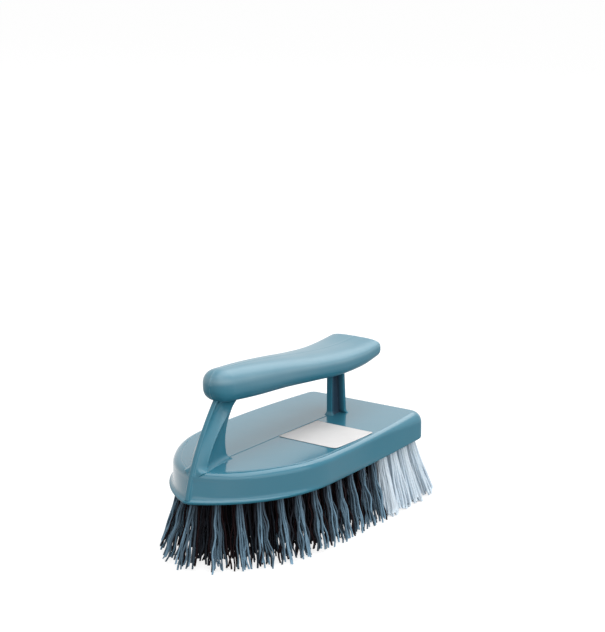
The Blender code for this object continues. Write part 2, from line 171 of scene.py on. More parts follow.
# %% Sizes of the block
block_height = 0.014
block_half_width = 0.0385
nose_run = 0.060
nose_half_width = 0.0014
rear_half_width = 0.0352
rear_corner_radius = 0.007
bottom_edge_radius = 0.0012
lip_edge_height = 0.0014
lip_edge_rounding = 0.0001
lip_height = 0.0020
lip_slope_shares = (0.0, 0.12, 0.85)
wall_station_shares = (0.0, 0.10, 0.18, 0.27, 0.36, 0.77, 0.96)
lip_outsets = (0.0006, 0.0005, 0.0004, 0.0002, 0.0, 0.0, 0.0)
foot_insets = (0.0009, 0.0011, 0.0010, 0.0005, 0.0, 0.0, 0.0)
shoulder_insets = (0.0030, 0.0015, 0.0013, 0.0006, 0.0, 0.0, 0.0)
shoulder_drops = (0.0034, 0.0033, 0.0033, 0.0032, 0.0031, 0.0030, 0.0056)
flat_insets = (0.0047, 0.0052, 0.0051, 0.0042, 0.0035, 0.0032, 0.0050)
groove_depths = (0.00022, 0.00022, 0.00022, 0.00024, 0.0002, 0.0, 0.0)
groove_width = 0.0006
groove_run_shares = (0.15, 0.4, 0.8, 1.0, 1.3)
groove_fall_shares = (0.7, 1.0, 0.3, 0.0, 0.0)
top_z = underside_z + block_height
print("block is", block_length, "m long,", 2 * block_half_width, "wide and", block_height, "high")

# %% [markdown]
# Seen from above, the edge is made of three circles: a wide arc from the nose to the widest place, a wider
# one from there to the rear, and a small one round the corner. Moved inwards, each is still a circle with a
# smaller radius, so the same function gives the edge of the flat top.

# %% The outline at any inset
flat_points, nose_points, side_points, corner_points, back_points = 5, 80, 50, 14, 20


def half_outline(inset):
    """The outline from nose to rear, moved inwards.

    The nose arc has radius (a^2 + b^2) / 2b, where a is its run and b its rise, and so has the rear arc.
    Moving a line inwards takes the inset off the radius. The corner circle touches the rear arc and the
    straight rear edge.
    """
    turn_x = nose_x + nose_run
    nose_rise = block_half_width - nose_half_width
    nose_radius = (nose_run ** 2 + nose_rise ** 2) / (2 * nose_rise)
    rear_run = rear_x - turn_x
    rear_drop = block_half_width - rear_half_width
    rear_radius = (rear_run ** 2 + rear_drop ** 2) / (2 * rear_drop)
    nose_y = block_half_width - nose_radius
    rear_y = block_half_width - rear_radius
    start = math.pi - max(math.acos((nose_run - inset) / (nose_radius - inset)),
                          math.asin(-nose_y / (nose_radius - inset)))
    corner = max(rear_corner_radius - inset, rear_corner_radius / 4)
    corner_x = rear_x - inset - corner
    corner_y = rear_y + math.sqrt((rear_radius - inset - corner) ** 2 - (corner_x - turn_x) ** 2)
    turn = math.atan2(corner_y - rear_y, corner_x - turn_x)

    def swept(center_x, center_y, radius, first, last, count):
        """An arc: its centre plus r (cos a, sin a)."""
        angle = np.linspace(first, last, count)
        return np.stack([center_x + radius * np.cos(angle), center_y + radius * np.sin(angle)], axis=-1)

    def straight_across(end, shares):
        """Points at shares of the way from the middle line out to an end point."""
        return np.stack([end[0] + 0 * shares, end[1] * shares], axis=-1)

    nose_arc = swept(turn_x, nose_y, nose_radius - inset, start, math.pi / 2, nose_points)
    side_arc = swept(turn_x, rear_y, rear_radius - inset, math.pi / 2, turn, side_points)[1:]
    corner_arc = swept(corner_x, corner_y, corner, turn, 0.0, corner_points)[1:]
    flat = straight_across(nose_arc[0], np.linspace(0.0, 1.0, flat_points)[:-1])
    back = straight_across(corner_arc[-1], np.linspace(1.0, 0.0, back_points)[1:])
    return np.concatenate([flat, nose_arc, side_arc, corner_arc, back])


def both_sides(half):
    """A closed row of points: down the near side, then back along its mirror image."""
    mirror = np.array([1.0, -1.0] + [1.0] * (half.shape[-1] - 2))
    return np.concatenate([half * mirror, half[..., -2:0:-1, :]], axis=-2)

# %% [markdown]
# The wall's section is a column of points: the rounded bottom edge, the lip, the plain wall, the roll and
# the groove. Seven places along the block say how far in and how high each of them lies, and smooth curves
# join these places, so that the section changes evenly on its way round.

# %% The section of the wall
edge_rows, wall_rows, roll_rows = 7, 9, 20


def wall_section(x):
    """Insets and heights of the wall above each x, as rows from the underside to the flat top.

    The bottom edge is a quarter circle. The lip leans in to the wall's foot, and the wall runs straight on
    to the shoulder. The roll is a quarter ellipse: its inset is s + (f - s)(1 - cos a), and its height is
    h - d (1 - sin a), where s is the shoulder's inset, f the flat's, d the drop and h the block's height.
    """
    share = (x - nose_x) / block_length
    tables = (lip_outsets, foot_insets, shoulder_insets, shoulder_drops, flat_insets, groove_depths)
    lip, foot, shoulder, drop, flat, groove = (
        blend_values(wall_station_shares, values, share) for values in tables)
    low = np.linspace(-math.pi / 2, 0.0, edge_rows)[:, None]
    up = np.linspace(0.0, 1.0, wall_rows)[1:-1, None]
    roll = np.linspace(0.0, math.pi / 2, roll_rows)[:, None]
    slope = np.array(lip_slope_shares)[:, None]
    slope_height = np.array([lip_edge_height - lip_edge_rounding, lip_edge_height, lip_height])[:, None]
    run = np.array(groove_run_shares)[:, None]
    fall = np.array(groove_fall_shares)[:, None]
    insets = np.concatenate([
        bottom_edge_radius * (1 - np.cos(low)) - lip,
        slope * (foot + lip) - lip,
        foot + (shoulder - foot) * up,
        shoulder + (flat - shoulder) * (1 - np.cos(roll)),
        flat + groove_width * run])
    heights = np.concatenate([
        bottom_edge_radius * (1 + np.sin(low)) + 0 * lip,
        slope_height + 0 * lip,
        lip_height + (block_height - drop - lip_height) * up,
        block_height - drop * (1 - np.sin(roll)),
        block_height - groove * fall])
    return insets, underside_z + heights

# %% [markdown]
# The flat top and the underside shrink from their edge to a short line along the middle. The two mould
# halves met on that line and left a fine raised seam, so the rows are crowded there and lifted by a fifth
# of a millimetre. The seam runs from the nose to the rear post, and behind the post the top is plain.

# %% Close the block and make it
middle_line_setback = 0.0075
deepest_inset = 0.0060
underside_rows = (0.0, 0.3, 0.6, 0.9, 0.98)
top_rows = (0.98, 0.93, 0.8, 0.6, 0.4, 0.2, 0.08, 0.03, 0.015, 0.01, 0.006, 0.003, 0.0)
block_seam_height = 0.00020
seam_half_width = 0.00022
seam_fade_length = 0.004
rear_post_setback = 0.0350


def seam_bulge(y):
    """The mould seam's section, exp(-(y / b)^2): 1 on the middle line, fading within the half width b."""
    return np.exp(-(y / seam_half_width) ** 2)


def shrunk_to_middle(edge, shares):
    """Rows between an edge and the middle line: m + (e - m) s, where m is the line's nearest point to e."""
    line_x = np.clip(edge[:, 0], nose_x + middle_line_setback, rear_x - middle_line_setback)
    middle = np.stack([line_x, np.zeros(len(edge))], axis=-1)
    return middle[None] + (edge - middle)[None] * np.array(shares)[:, None, None]


def block_grid():
    """Rows from the middle of the underside, out and up round the wall, and over the top to its middle.

    A point at any inset lies that share of the way from the outer outline to the one at the deepest inset.
    """
    outer, inner = half_outline(0.0), half_outline(deepest_inset)
    insets, heights = wall_section(outer[:, 0])
    flat = outer + (inner - outer) * (insets / deepest_inset)[..., None]
    side = both_sides(np.concatenate([flat, heights[..., None]], axis=-1))
    low = shrunk_to_middle(side[0, :, :2], underside_rows)
    low = np.concatenate([low, np.full(low.shape[:2] + (1,), underside_z)], axis=-1)
    high = shrunk_to_middle(side[-1, :, :2], top_rows)
    in_front = np.clip((rear_x - rear_post_setback - high[..., :1]) / seam_fade_length, 0.0, 1.0)
    lift = block_seam_height * in_front * seam_bulge(high[..., 1:])
    high = np.concatenate([high, top_z + lift], axis=-1)
    return np.concatenate([low, side, high], axis=0)


block = skin("moulded_block", block_grid())
print("block has", len(block.data.polygons), "faces")

# %% [markdown]
# ## The grip
#
# The grip is a bar for the palm. It is narrow and rounded in front, dips in the middle, and spreads into a
# flat tail. Each section across it is a squashed circle: a superellipse, which a roundness of two makes an
# ellipse and larger values make boxier. Subdividing a rough box would also give a soft bar, but the curve
# under the fingers would have to be coaxed. Here width, top, underside and roundness are smooth curves
# along the length. The mould's seam runs along its top and underside and down its front end, and is rubbed
# away where the grip is highest.

# %% Sizes of the grip
grip_front_setback = 0.0182
grip_rear_setback = 0.010
grip_rise = 0.0444
grip_half_width = 0.0155
grip_front_rounding = 0.0085
grip_rear_edge_radius = 0.0025
grip_station_shares = (0.03, 0.22, 0.41, 0.59, 0.77, 0.885, 1.0)
grip_width_shares = (0.50, 0.655, 0.765, 0.86, 0.95, 1.0, 0.98)
grip_top_shares = (0.996, 0.961, 0.905, 0.842, 0.798, 0.790, 0.810)
grip_under_shares = (0.646, 0.604, 0.581, 0.541, 0.507, 0.524, 0.578)
grip_top_roundness = (2.2, 2.3, 2.4, 2.5, 2.8, 3.3, 3.8)
grip_under_roundness = (3.0, 3.0, 3.0, 2.9, 2.8, 2.7, 2.6)
grip_widest_share = 0.55
grip_front_roundness = 2.3
grip_seam_height = 0.00014
end_seam_height = 0.00024
end_seam_fall = 1.3
seam_gap_share = 0.055
seam_gap_width_share = 0.045
grip_front_x = nose_x + grip_front_setback
grip_rear_x = rear_x - grip_rear_setback
grip_length = grip_rear_x - grip_front_x
print("grip is", round(grip_length, 4), "m long and", 2 * grip_half_width, "wide")

# %% Sections along the grip
front_rows, middle_rows, rear_rows, section_points = 22, 90, 10, 96
turns_beside_seam = (-0.03, -0.018, -0.009, 0.009, 0.018, 0.03)
cap_rows = (0.9, 0.6, 0.3, 0.0)


def grip_under_at(x):
    """Height of the grip's underside above a place along the brush."""
    share = (x - grip_front_x) / grip_length
    return top_z + grip_rise * blend_values(grip_station_shares, grip_under_shares, share)


def crowded_turns(count):
    """Angles round a section, evenly spread, with a few more beside the seam at the top and bottom."""
    even = np.linspace(0.0, 2 * math.pi, count, endpoint=False)
    beside = np.array(turns_beside_seam)
    return np.unique(np.concatenate([even, math.pi / 2 + beside, 3 * math.pi / 2 + beside]))


def grip_grid():
    """Superellipse sections: y = w |cos a|^(2/n), z = h |sin a|^(2/n), with the signs of cos a and sin a.

    In front w and h close by (1 - (1 - t)^m)^(1/m), where t runs from 0 at the tip to 1 where the rounding
    ends. The rear edge is a quarter circle, and the seam's bulge is added last.
    """
    front = grip_front_rounding * (1 - np.cos(np.linspace(0.0, math.pi / 2, front_rows)))
    middle = np.linspace(grip_front_rounding, grip_length - grip_rear_edge_radius, middle_rows)[1:]
    rear = grip_length - grip_rear_edge_radius * (1 - np.sin(np.linspace(0.0, math.pi / 2, rear_rows)[1:]))
    along = np.concatenate([front, middle, rear])
    share = along / grip_length
    width = grip_half_width * blend_values(grip_station_shares, grip_width_shares, share)
    top = top_z + grip_rise * blend_values(grip_station_shares, grip_top_shares, share)
    under = top_z + grip_rise * blend_values(grip_station_shares, grip_under_shares, share)
    into_front = np.clip(along / grip_front_rounding, 0.0, 1.0)
    closing = (1 - (1 - into_front) ** grip_front_roundness) ** (1 / grip_front_roundness)
    into_edge = np.clip(along - (grip_length - grip_rear_edge_radius), 0.0, grip_rear_edge_radius)
    shrink = grip_rear_edge_radius - np.sqrt(grip_rear_edge_radius ** 2 - into_edge ** 2)
    widest = under + (top - under) * grip_widest_share
    turns = crowded_turns(section_points)
    c, s = np.cos(turns)[None, :], np.sin(turns)[None, :]
    over = s >= 0
    power_top = 2 / blend_values(grip_station_shares, grip_top_roundness, share)[:, None]
    power_under = 2 / blend_values(grip_station_shares, grip_under_roundness, share)[:, None]
    power = np.where(over, power_top, power_under)
    tall = np.where(over, (top - widest)[:, None], (widest - under)[:, None]) - shrink[:, None]
    y = (width - shrink)[:, None] * closing[:, None] * np.sign(c) * np.abs(c) ** power
    z = widest[:, None] + tall * closing[:, None] * np.sign(s) * np.abs(s) ** power
    outside_gap = np.clip(np.abs(share - seam_gap_share) / seam_gap_width_share, 0.0, 1.0)
    seam = grip_seam_height * closing * outside_gap
    z = z + np.sign(s) * seam[:, None] * seam_bulge(y)
    down_the_end = end_seam_height * (1 - into_front) ** end_seam_fall
    x = grip_front_x + along[:, None] - down_the_end[:, None] * seam_bulge(y)
    body = np.stack([x, y, z], axis=-1)
    end = body[-1]
    heart = np.array([grip_rear_x, 0.0, end[:, 2].mean()])
    cap = heart + (end - heart)[None] * np.array(cap_rows)[:, None, None]
    return np.concatenate([body, cap], axis=0)


grip = skin("moulded_grip", grip_grid())
print("grip has", len(grip.data.polygons), "faces")

# %% [markdown]
# ## The posts
#
# Two posts carry the grip. Each could be cut from a bar with Boolean modifiers, but the cuts would have
# sharp, uneven edges. Instead each post is a closed section whose half width changes from front to back,
# stacked from below the block's top to inside the grip. Its foot flares where it meets the block.

# %% What both posts share
post_sink = 0.004
post_flare_height = 0.0024


def through_three(values, share):
    """The parabola through the values f, m and t: f + (t - f - b) s + b s^2, where b is 2 (f - 2 m + t)."""
    foot, middle, top = values
    bend = 2 * (foot - 2 * middle + top)
    return foot + (top - foot - bend) * share + bend * share ** 2


def foot_flare(z, spread, height=post_flare_height):
    """How far a foot spreads: s (1 - h)^2.5, where h runs from 0 on the block to 1 at the flare's end."""
    share = np.clip((z - top_z) / height, 0.0, 1.0)
    return spread * (1 - share) ** 2.5


def two_sided(x, half, z):
    """A closed section from one side's half widths, front to rear, and its mirror image, for each height."""
    near = np.stack([x, -half, np.broadcast_to(z, x.shape)], axis=-1)
    far = np.stack([x, half, np.broadcast_to(z, x.shape)], axis=-1)[:, ::-1]
    return np.concatenate([near, far], axis=1)


def closed_ends(grid):
    """The same rows with both ends drawn in to a point."""
    first, last = grid[:1], grid[-1:]
    return np.concatenate([first.mean(axis=1, keepdims=True) + 0 * first, grid,
                           last.mean(axis=1, keepdims=True) + 0 * last], axis=0)

# %% [markdown]
# The front post leans back like a ship's bow. It has a narrow spine in front, a hollow on each side, a
# sharp ridge with a fine bead, and a thin web behind. The two side cores of the mould shaped the hollows,
# and left a small deeper pocket in each of them just under the grip.

# %% Sizes of the front post
front_post_flare = 0.0012
web_foot_flare = 0.0024
front_flare_height = 0.0032
bow_flare = 0.0034
bow_depth = 0.0034
front_post_start_height = 0.0016
spine_half_width = 0.00125
spine_depth = 0.0014
spine_setbacks = (0.0039, 0.0109, 0.0204)
ridge_setbacks = (0.0089, 0.0166, 0.0315)
web_rear_setbacks = (0.0307, 0.0297, 0.0384)
ridge_half_width = 0.0046
web_edge_half_width = 0.0007
channel_half_width_at_foot = 0.0034
channel_half_width_at_top = 0.0006
web_edge_radius = 0.0006
pocket_depth = 0.0013
pocket_place_share, pocket_length_share = 0.16, 0.11
pocket_level_share, pocket_height_share = 1.02, 0.09
ridge_bead = 0.00016
ridge_bead_half_width = 0.00035
least_half_width = 0.0001
spine_power, slope_power, bow_power = 0.6, 1.7, 0.6
bow_start_share = 0.15
hollow_least_share = 0.75
crowding = 1.3

# %% The front post
rows_on_wall, rows_in_front_flare, rows_above = 24, 16, 60
spine_points, hollow_points, slope_points, web_edge_points = 12, 44, 36, 6


def bead(distance):
    """The ridge's bead, h exp(-(d / b)^2): its height h on the ridge, fading within the half width b."""
    return ridge_bead * np.exp(-(distance / ridge_bead_half_width) ** 2)


def front_post_grid():
    """Half width against depth: a round spine, a parabola through the hollow, and a hollow slope to the web.

    A pocket d exp(-u^4 - v^4) deepens the hollow under the grip, and a bead h exp(-w^2) runs down the
    ridge. The slope narrows by (1 - t)^1.7, where t runs from 0 at the ridge to 1 at the web's rear edge.
    """
    reach = grip_under_at(nose_x + ridge_setbacks[2]) - top_z
    z = np.concatenate([underside_z + np.linspace(front_post_start_height, block_height, rows_on_wall)[:-1],
                        top_z + front_flare_height * np.linspace(0.0, 1.0, rows_in_front_flare)[:-1],
                        np.linspace(top_z + front_flare_height, top_z + reach + post_sink, rows_above)])
    z = z[:, None]
    share = (z - top_z) / reach
    held = np.clip(share, 0.0, 1.0) ** 2
    flare = foot_flare(z, front_post_flare, front_flare_height)
    web_flare = foot_flare(z, web_foot_flare, front_flare_height)
    bow = foot_flare(z, bow_flare, front_flare_height)
    bow = bow * np.clip((z - top_z + bow_depth) / bow_depth, 0.0, 1.0)
    spine = nose_x + through_three(spine_setbacks, share)
    ridge = nose_x + through_three(ridge_setbacks, share)
    rear = nose_x + through_three(web_rear_setbacks, share) + flare
    channel = channel_half_width_at_foot * (1 - held) + channel_half_width_at_top * held
    a = np.linspace(0.0, math.pi / 2, spine_points)[None, :]
    nose_part_x = spine + spine_depth / 2 * (1 - np.cos(a))
    nose_half = spine_half_width * np.sin(a) ** spine_power
    t = 1 - (1 - np.linspace(0.0, 1.0, hollow_points)[None, 1:]) ** crowding
    inner = spine + spine_depth / 2
    hollow_x = inner + (ridge - inner) * t
    bend = 2 * (spine_half_width - 2 * channel + ridge_half_width)
    hollow_half = spine_half_width + (ridge_half_width - spine_half_width - bend) * t + bend * t ** 2
    hollow_half = np.maximum(hollow_half, spine_half_width * hollow_least_share) + flare * t
    hollow_half = hollow_half + bow * np.minimum(t / bow_start_share, 1.0) ** bow_power * (1 - t)
    into_pocket = ((t - pocket_place_share) / pocket_length_share) ** 4
    pocket = pocket_depth * np.exp(-into_pocket - ((share - pocket_level_share) / pocket_height_share) ** 4)
    hollow_half = np.maximum(hollow_half - pocket, least_half_width) + bead(hollow_x - ridge)
    t = np.linspace(0.0, 1.0, slope_points)[None, 1:] ** crowding
    slope_x = ridge + (rear - web_edge_radius - ridge) * t
    slope_half = web_edge_half_width + (ridge_half_width - web_edge_half_width) * (1 - t) ** slope_power
    slope_half = slope_half + flare + (web_flare - flare) * t + bead(slope_x - ridge)
    a = np.linspace(0.0, math.pi / 2, web_edge_points)[None, 1:]
    edge_x = rear - web_edge_radius + web_edge_radius * np.sin(a)
    edge_half = (web_edge_half_width + web_flare) * np.cos(a)
    x = np.concatenate([nose_part_x, hollow_x, slope_x, edge_x], axis=1)
    half = [nose_half + 0 * z, hollow_half, slope_half, edge_half + 0 * z]
    half = np.concatenate(half, axis=1)
    return closed_ends(two_sided(x, half, z))


front_post = skin("moulded_front_post", front_post_grid())
print("front post has", len(front_post.data.polygons), "faces")

# %% [markdown]
# The rear post is a plain upright T: a narrow rib in front, a thin web with a pocket on each side, and a
# wide flange behind. It grows a little deeper towards its foot, which stiffens it.

# %% The rear post
rear_post_depth = 0.0064
rear_post_taper = 0.0020
rear_post_flare = 0.0009
rear_post_corner_radius = 0.0004
rib_half_width = 0.0016
rib_depth = 0.0017
rear_web_half_width = 0.0009
flange_half_width = 0.0048
flange_depth = 0.0019
rows_sunk, rows_in_rear_flare, rows_up = 4, 10, 40
points_round_corner = 6


def rear_post_grid():
    """Half width against depth: a rib, a step down to the web, and a step up to the wide flange.

    Each corner of the steps is a quarter circle of radius r, with its depth by sin a and its width by cos a
    or the other way round.
    """
    center = rear_x - rear_post_setback + rear_post_depth / 2
    top = grip_under_at(center) + post_sink
    z = np.concatenate([top_z + np.linspace(-post_sink, 0.0, rows_sunk)[:-1],
                        top_z + post_flare_height * np.linspace(0.0, 1.0, rows_in_rear_flare)[:-1],
                        np.linspace(top_z + post_flare_height, top, rows_up)])[:, None]
    share = (z - top_z) / (top - top_z)
    flare = foot_flare(z, rear_post_flare)
    front = center - rear_post_depth / 2 - flare
    rear = center + rear_post_depth / 2 + rear_post_taper * (1 - share) + flare
    r = rear_post_corner_radius
    a = np.linspace(0.0, math.pi / 2, points_round_corner)[None, :]
    corners = [
        (front + r * (1 - np.cos(a)), rib_half_width - r + r * np.sin(a)),
        (front + rib_depth - r + r * np.sin(a), rib_half_width - r + r * np.cos(a)),
        (front + rib_depth + r * (1 - np.cos(a)), rear_web_half_width + r * (1 - np.sin(a))),
        (rear - flange_depth - r + r * np.sin(a), rear_web_half_width + r * (1 - np.cos(a))),
        (rear - flange_depth + r * (1 - np.cos(a)), flange_half_width - r + r * np.sin(a)),
        (rear - r + r * np.sin(a), flange_half_width - r + r * np.cos(a)),
    ]
    x = np.concatenate([depth for depth, width in corners], axis=1)
    half = np.concatenate([width + 0 * z for depth, width in corners], axis=1) + flare
    x = np.concatenate([x[:, :1], x, x[:, -1:]], axis=1)
    half = np.concatenate([0 * half[:, :1], half, 0 * half[:, -1:]], axis=1)
    return closed_ends(two_sided(x, half, z))


rear_post = skin("moulded_rear_post", rear_post_grid())
print("rear post has", len(rear_post.data.polygons), "faces")

# %% [markdown]
# ## The tufts
#
# Each tuft is a bundle of coarse synthetic bristles, folded over a wire and pushed into a blind hole. A
# hair system could grow them, but hairs aren't meshes and wouldn't travel with the part. So each strand is
# a small tube whose centre line is worked out from its place in the bundle: it starts at the hole, leans
# outwards, fans away from its neighbours, and waves, because the bristles were crimped. The place and lean
# of each bundle are read from the working model's own tufts. Between the inner ones stand the further tufts
# that the real rows have.

# %% Where the tufts stand
chance = np.random.default_rng(11)
root_level, tip_level = underside_z + 0.001, 0.006
tuft_nodes = sorted(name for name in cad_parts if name.startswith("tuft_"))


def root_and_lean(name):
    """The middle of a tuft's packed root in its hole, and how far the middle of its tips lies from it."""
    points = np.array([v.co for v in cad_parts[name].data.vertices])
    root = points[points[:, 2] > root_level]
    root = (root.max(axis=0) + root.min(axis=0)) / 2
    tips = points[points[:, 2] < tip_level].mean(axis=0)
    return root[:2], tips[:2] - root[:2]


tufts = {name: root_and_lean(name) for name in tuft_nodes}
print("tufts in the working model:", len(tufts))

# %% [markdown]
# The crimp is a sine wave along the strand. The strands of a tuft were cut from one hank, so their waves
# are alike, but each is turned and shifted, and it dies away towards the hole. The white strands are nearly
# straight. The tips are ragged by two or three millimetres, and none of them passes the floor.

# %% The strands of one tuft
strand_rings = 13
strand_start = 0.0004
crimp_depth = 0.00065
white_crimp_depth = 0.00014
crimp_length = 0.0135
tip_spread = 2.35
white_tip_spread = 1.9
ragged_height = 0.0034
bundle_radius = 0.0020
white_bundle_radius = 0.0024
stray_reach = 0.0012
white_stray_reach = 0.0007
fan_range, wave_range = (0.6, 1.35), (0.4, 1.4)
phase_scatter, turn_scatter = 0.22, 0.8
golden_angle = 2.39996
least_lean = 1e-6
side_reach = 0.0412
side_room = 0.0040
end_margin = 0.0006
low_reach_x, high_reach_x = solid_box[0][0] + end_margin, solid_box[1][0] - end_margin


def held_within(values, stop, room):
    """Values past stop - room are drawn in softly: they near the stop as a tanh does, and never pass it."""
    past = np.clip(values - (stop - room), 0.0, None)
    return np.where(past > 0, stop - room + room * np.tanh(past / room), values)


def strand_lines(root, lean, count, white):
    """Centre lines as strands by rings by xyz, and how far out and aside each strand lies, from -1 to 1.

    A strand starts at r (cos a, sin a) from the root, spreads by 1 + (s - 1) t, leans by t^1.2 of the
    tuft's lean, strays a little by t^1.5, and waves by d sin(2 pi (l t / w + p)), where t runs from 0 at
    the hole to 1 at the tip. The wave has its full depth from a third of the way down. The strand's drop is
    sqrt(l^2 - e), where l is its length and e half of the lean squared.
    """
    depth_of_wave, fan = (white_crimp_depth, white_tip_spread) if white else (crimp_depth, tip_spread)
    bundle, reach = (white_bundle_radius, white_stray_reach) if white else (bundle_radius, stray_reach)
    t = np.linspace(0.0, 1.0, strand_rings)[None, :]
    order = np.arange(count)
    radius = bundle * np.sqrt((order + 0.5) / count)
    angle = order * golden_angle + chance.uniform(0.0, 2 * math.pi)
    offset = np.stack([radius * np.cos(angle), radius * np.sin(angle)], axis=-1)
    ahead = lean / max(np.linalg.norm(lean), least_lean)
    outward = offset @ np.array([ahead, [-ahead[1], ahead[0]]]).T / bundle
    length = underside_z - ragged_height * chance.uniform(0.0, 1.0, count) ** 1.5
    length = np.sqrt(length ** 2 - 0.5 * (lean @ lean))
    spread = 1 + (fan - 1) * t[..., None] * chance.uniform(*fan_range, count)[:, None, None]
    phase = chance.uniform(0.0, 1.0) + chance.normal(0.0, phase_scatter, count)
    way = chance.uniform(0.0, math.pi) + chance.normal(0.0, turn_scatter, count)
    depth = depth_of_wave * chance.uniform(*wave_range, count)[:, None] * np.clip(3 * t, 0.0, 1.0)
    wave = depth * np.sin(2 * math.pi * (underside_z * t / crimp_length + phase[:, None]))
    stray = chance.normal(0.0, reach, (count, 1, 2)) * t[..., None] ** 1.5
    flat = root + offset[:, None] * spread + lean * t[..., None] ** 1.2 + stray
    flat = flat + wave[..., None] * np.stack([np.cos(way), np.sin(way)], axis=-1)[:, None]
    x = held_within(flat[..., 0], high_reach_x, side_room)
    x = -held_within(-x, -low_reach_x, side_room)
    y = np.sign(flat[..., 1]) * held_within(np.abs(flat[..., 1]), side_reach, side_room)
    flat = np.stack([x, y], axis=-1)
    z = underside_z + strand_start - (length[:, None] + strand_start) * t
    return np.concatenate([flat, z[..., None]], axis=-1), outward

# %% [markdown]
# Hundreds of strands would be slow as hundreds of objects, so the tubes of one tuft share a mesh. Each
# point of it also keeps two numbers, which its finish reads later: the strand's tone, and how far down the
# strand it lies.

# %% Tubes round the lines
strand_radius = 0.00046
white_strand_radius = 0.00066
thickness_range = (0.82, 1.12)
strand_sides = 5


def thickness_of(white):
    """A strand's radius by its kind: the white strands are thicker."""
    return white_strand_radius if white else strand_radius


def strand_tubes(name, lines, tone, thickness):
    """Tubes as one piece: each ring is a line's point plus r (cos a, sin a, 0), kept above the floor."""
    count, rings = lines.shape[:2]
    turns = np.linspace(0.0, 2 * math.pi, strand_sides, endpoint=False)
    radius = thickness * chance.uniform(*thickness_range, count)[:, None, None]
    circle = np.stack([np.cos(turns), np.sin(turns), 0 * turns], axis=-1)
    points = lines[:, :, None] + radius[..., None] * circle
    points[..., 2] = np.clip(points[..., 2], 0.0, None)
    base = (np.arange(count)[:, None, None] * rings + np.arange(rings - 1)[None, :, None]) * strand_sides
    here = base + np.arange(strand_sides)
    beside = base + (np.arange(strand_sides) + 1) % strand_sides
    walls = np.stack([here, beside, beside + strand_sides, here + strand_sides], axis=-1)
    first = (np.arange(count)[:, None] * rings) * strand_sides + np.arange(strand_sides)
    last = first + (rings - 1) * strand_sides
    mesh = bpy.data.meshes.new(name)
    ends = first.tolist() + last[:, ::-1].tolist()
    mesh.from_pydata(points.reshape(-1, 3).tolist(), [], walls.reshape(-1, 4).tolist() + ends)
    mesh.flip_normals()
    mesh.polygons.foreach_set("use_smooth", np.ones(len(mesh.polygons), dtype=bool))
    tone = np.repeat(tone, rings * strand_sides)
    along = np.tile(np.repeat(np.linspace(0.0, 1.0, rings), strand_sides), count)
    for label, values in (("tone", tone), ("along", along)):
        mesh.attributes.new(label, "FLOAT", "POINT").data.foreach_set("value", values.astype(np.float32))
    piece = bpy.data.objects.new(name, mesh)
    bpy.context.scene.collection.objects.link(piece)
    return piece

# %% [markdown]
# Strands on the outer side of a bundle catch the light, and those behind and beside them stay dark, so each
# strand gets a tone from its place in the bundle. The inner tufts stand in the brush's own shadow and are
# nearly black.

# %% Make every tuft
edge_strands = 17
white_strands = 60
inner_strands = 18
white_tones = (0.8, 0.1, 0.1, 0.12)
edge_tones = (0.66, 0.50, 0.78, 0.22)
inner_tones = (0.04, 0.04, 0.0, 0.04)


def is_white(name):
    """Whether the working model's tuft has the white material."""
    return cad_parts[name].data.materials[0].name.startswith("white")


def tones(outward, at_edge, white):
    """How light each strand is: c + o w - s |a| plus some chance, where it lies w outwards and a aside."""
    middle, slope, side, vary = white_tones if white else edge_tones if at_edge else inner_tones
    tone = middle + slope * outward[:, 0] - side * np.abs(outward[:, 1])
    return np.clip(tone + chance.normal(0.0, vary, len(outward)), 0.0, 1.0)


tuft_pieces = {}
for name, (root, lean) in tufts.items():
    at_edge, white = "edge" in name, is_white(name)
    count = white_strands if white else edge_strands if at_edge else inner_strands
    lines, outward = strand_lines(root, lean, count, white)
    tone = tones(outward, at_edge, white)
    tuft_pieces[name] = strand_tubes(name.replace("tuft_", "bristles_"), lines, tone, thickness_of(white))
print("strands:", sum(len(p.data.vertices) for p in tuft_pieces.values()) // (strand_rings * strand_sides))

# %% [markdown]
# The working model has every other tuft or so of the inner rows, which is enough for its weight and its
# reach. The rest stand between them, so that no light shows through. They follow the block's outline too,
# each row with its own inset, number of places and splay, and a place too near a tuft of the working model
# stays empty.

# %% Fill the inner rows
further_rows = ((0.015, 26, 0.0028), (0.0225, 22, 0.0018), (0.030, 16, 0.0008))
least_gap_between_tufts = 0.0055
white_row_margin = 0.002
look_ahead = 0.001


def places_on(inset, count):
    """Places spaced evenly along the inset outline, each with its outward direction."""
    loop = both_sides(half_outline(inset))
    loop = np.concatenate([loop, loop[:1]])
    along = np.concatenate([[0.0], np.cumsum(np.linalg.norm(np.diff(loop, axis=0), axis=1))])
    at = (np.arange(count) + 0.5) / count * along[-1]
    place = np.stack([np.interp(at, along, loop[:, 0]), np.interp(at, along, loop[:, 1])], axis=-1)
    at = at + look_ahead
    run = np.stack([np.interp(at, along, loop[:, 0]), np.interp(at, along, loop[:, 1])], axis=-1) - place
    run = run / np.linalg.norm(run, axis=1)[:, None]
    return place, np.stack([run[:, 1], -run[:, 0]], axis=-1)


own_roots = np.array([root for root, lean in tufts.values()])
further = []
for inset, count, splay in further_rows:
    places, outward = places_on(inset, count)
    apart = np.linalg.norm(places[:, None] - own_roots[None], axis=2).min(axis=1)
    further += [(place, way * splay) for place, way, gap in zip(places, outward, apart)
                if gap > least_gap_between_tufts]
white_from_x = min(root[0] for name, (root, lean) in tufts.items() if is_white(name)) - white_row_margin
print("further tufts:", len(further), "of which the white ones lie beyond x =", round(white_from_x, 4))

